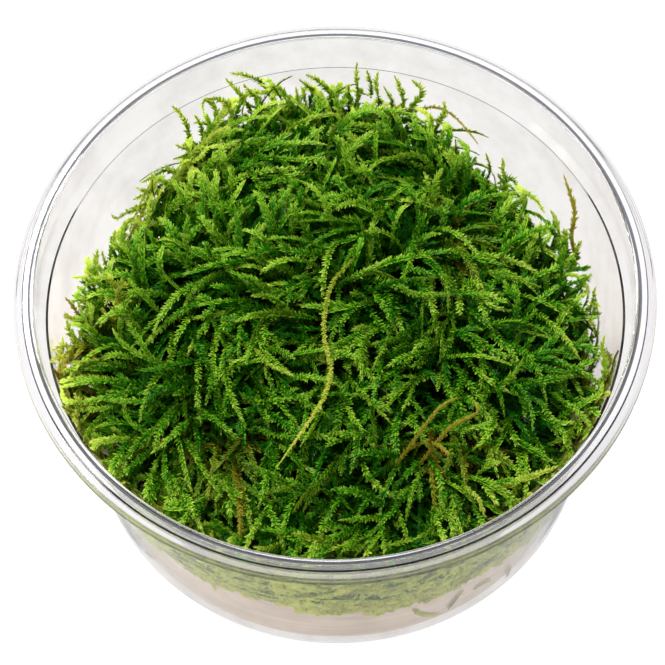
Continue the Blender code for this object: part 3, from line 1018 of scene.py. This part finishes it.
edge_shoots = []
for seen_list, width, warm, tip_age in edge_kinds:
    for seen in seen_list:
        facing = unit(np.array([draw.normal(0, 0.2), draw.normal(0, 0.2) - 0.5, 1.0]))
        age_and_shade = np.linspace(edge_root_age, tip_age, path_points)
        size = width * draw.uniform(0.85, 1.15)
        roll = draw.normal(0, 0.3)
        edge_shoots.append(shoot(edge_path(seen), size, 0.8, roll, 0.0, age_and_shade, warm, facing))
leafy("moss_shoots_edge", edge_shoots, full_rows, folded_leaf, thin_leaf)


# Long shoots that stand out on the top, each followed in the picture: slender pale ones, and brown ones that
# have died back. Each has its lift off the top in millimetres, its width, how brown it is, and its two ages.
long_shoots = [
    (3.0, 1.0, 0.25, (0.0, 0.0), [
        (358, 248), (347, 260), (333, 278), (325, 308), (324, 339),
        (331, 365), (323, 399), (308, 422), (277, 463),
    ]),
    (1.8, 0.95, 0.1, (0.25, 0.05), [(238, 337), (255, 348), (268, 363), (297, 375)]),
    (1.7, 0.85, 0.45, (0.3, 0.1), [
        (385, 481), (397, 462), (411, 444), (422, 429), (432, 416), (448, 400), (460, 394),
    ]),
    (1.8, 0.85, 0.5, (0.3, 0.1), [
        (415, 466), (438, 440), (452, 426), (462, 420), (478, 410), (475, 398),
    ]),
    (1.7, 0.8, 0.4, (0.25, 0.1), [(411, 443), (424, 441), (438, 445), (448, 453), (453, 462)]),
    (1.8, 1.0, 0.15, (0.2, 0.0), [(452, 482), (465, 487), (477, 497), (485, 513)]),
]
long_root_dip = 2.0 * MM
long_tip_dip = 1.2 * MM
feature_shoots = []
for lift, size, warm, (root_age, tip_age), seen in long_shoots:
    path = even_path([seen_on_moss(x, y, lift * MM) for x, y in seen])
    share = np.linspace(0, 1, path_points)
    path[:, 2] -= long_root_dip * (1 - share) ** 4 + long_tip_dip * share**6
    age_and_shade = np.linspace(root_age, tip_age, path_points)
    feature_shoots.append(shoot(path, size, 0.9, 0.0, 0.3, age_and_shade, warm, (0.0, -0.3, 1.0)))
leafy("moss_shoots_long", feature_shoots, full_rows, folded_leaf, moss_leaf)


# Shoots on the flank of the clump, which turn up and outward into the space beside the wall. They grow from
# just over the gel up to the edge of the top, the older ones lower down.
flank_count = 620
flank_foot = 1.0 * MM
flank_head = 1.5 * MM
flank_inset = 4.0 * MM
flank_warmth = 0.05
flank_shoots = []
for number in range(flank_count):
    turn = math.remainder(number * golden_angle, 2 * math.pi)
    reach = clump_reach(turn)
    edge_height = clump_top(reach * math.cos(turn), reach * math.sin(turn))
    foot_height = gel_surface(reach * math.cos(turn), reach * math.sin(turn)) + flank_foot
    level = foot_height + (edge_height - flank_head - foot_height) * draw.random()
    share = np.linspace(0, 1, path_points)
    length = draw.uniform(6, 11) * MM
    swing = draw.normal(0, 0.9)
    climb = draw.uniform(0.0, 0.9)
    radius = reach - flank_inset + draw.uniform(3.4, 5.4) * MM * np.sin(share * math.pi / 2)
    angles = turn + swing * length / reach * share
    heights = level + length * climb * (share - 0.25 * share**2)
    path = np.column_stack([radius * np.cos(angles), radius * np.sin(angles), heights])
    facing = np.array([math.cos(turn), math.sin(turn), draw.uniform(0.2, 0.9)])
    age_and_shade = draw.uniform(0.08, 0.28) + 0.3 * (edge_height - level) / (edge_height - foot_height)
    size = draw.uniform(1.2, 1.5)
    roll = draw.normal(0, 0.4)
    flank_shoots.append(shoot(path, size, 1.0, roll, 0.0, age_and_shade, flank_warmth, facing))
leafy("moss_shoots_flank", flank_shoots, plain_rows, narrow_leaf, thin_leaf)


# Shoots pressed flat against the wall, round the front. They end at a ragged edge a little below or above
# the gel's top, lowest at the front right, and a few single ones lie lower, between the gel and the wall.
# Heights here are millimetres over the tub's foot, lengths are millimetres and turns degrees round the tub.
wall_count = 1500
wall_turns = (-164, -20)
wall_turn_scatter = 7
wall_top = 39.0
wall_warmth = 0.05
edge_degrees = (-180, -125, -105, -90, -60, -45, -32, -10, 180)
edge_heights = (20, 18, 19, 15, 17, 14, 9, 15, 20)
edge_ragged = 2.8
edge_tooth = 3.5 * MM
tooth_height = 20.0
edge_margin = 0.5
trace_shares = (0.0, 0.35, 0.7, 1.0)
pressed_radius = 44.0
waver = 0.8
old_start = 33
old_height = 5
old_age = 0.4

# Single low shoots: their tip and root as degrees round the tub and height, and their bend
low_shoots = [
    ((-68, 4), (-75, 12), -1.5),
    ((-63, 12), (-66, 5), 0.5),
    ((-55, 8), (-60, 9), 1.0),
    ((-49, 7), (-49, 2), -0.5),
    ((-142, 10), (-147, 4), 0.5),
    ((-138, 6), (-143, 3), 0.5),
    ((-119, 14), (-120, 22), 0.5),
]
low_inset = 0.4 * MM


def on_wall(degrees, height, inset):
    """A place at a height beside the wall, set in from it."""
    radius = wall_inside(height * MM) - inset
    angle = math.radians(degrees)
    return (radius * math.cos(angle), radius * math.sin(angle), height * MM)


def ragged_edge(degrees):
    """How low the wall shoots reach at a place round the tub."""
    x, y = on_wall(degrees, tooth_height, 0.0)[:2]
    tooth = noise.noise(Vector((x, y, 0.0)) / edge_tooth)
    return np.interp(degrees, edge_degrees, edge_heights) + edge_ragged * tooth


wall_shoots = []
for number in range(wall_count):
    turn = draw.uniform(*wall_turns) + draw.normal(0, wall_turn_scatter)
    low = ragged_edge(turn)
    length = draw.uniform(4.5, 9.0)
    bearing = draw.normal(0, 0.9) + (0 if draw.random() < 0.5 else math.pi)
    level = low + edge_margin + (wall_top - low) * draw.random() ** 1.2
    trace = []
    for share in trace_shares:
        along = length * (share - 0.5)
        height = level + along * math.sin(bearing) + waver * math.sin(3 * share + number)
        degrees = turn + math.degrees(along * math.cos(bearing) / pressed_radius)
        trace.append(on_wall(degrees, max(height, low - edge_margin), draw.uniform(0.45, 1.3) * MM))
    facing = (math.cos(math.radians(turn)), math.sin(math.radians(turn)), 0.1)
    age_and_shade = draw.uniform(0.0, 0.2) + old_age * np.clip((level - old_start) / old_height, 0, 1)
    size = draw.uniform(1.5, 1.9)
    roll = draw.normal(0, 0.15)
    wall_shoots.append(shoot(even_path(trace), size, 1.1, roll, 0.0, age_and_shade, wall_warmth, facing))
for tip, root, bend in low_shoots:
    middle = ((tip[0] + root[0]) / 2, (tip[1] + root[1]) / 2 + bend)
    path = even_path([on_wall(degrees, height, low_inset) for degrees, height in (root, middle, tip)])
    facing = (math.cos(math.radians(tip[0])), math.sin(math.radians(tip[0])), 0)
    wall_shoots.append(shoot(path, 0.75, 1.1, 0.0, 0.0, 0.15, 0.1, facing))

# Pressed leaves are paler and more yellow than the others, and painted brighter still: painted light where
# little light reaches them through the wall
pressed_leaf_painted_light = moss_leaf.copy()
pressed_leaf_painted_light.name = "pressed moss leaf painted light"
pressed_ramp = pressed_leaf_painted_light.node_tree.nodes[leaf_ramp.name].color_ramp
pressed_painted_light_colors = (
    (0.64, 0.72, 0.16),
    (0.46, 0.55, 0.08),
    (0.3, 0.38, 0.04),
    (0.15, 0.2, 0.02),
    (0.05, 0.07, 0.01),
)
for element, color in zip(pressed_ramp.elements, pressed_painted_light_colors):
    element.color = (*color, 1)
leafy("moss_shoots_wall", wall_shoots, plain_rows, broad_leaf, pressed_leaf_painted_light)
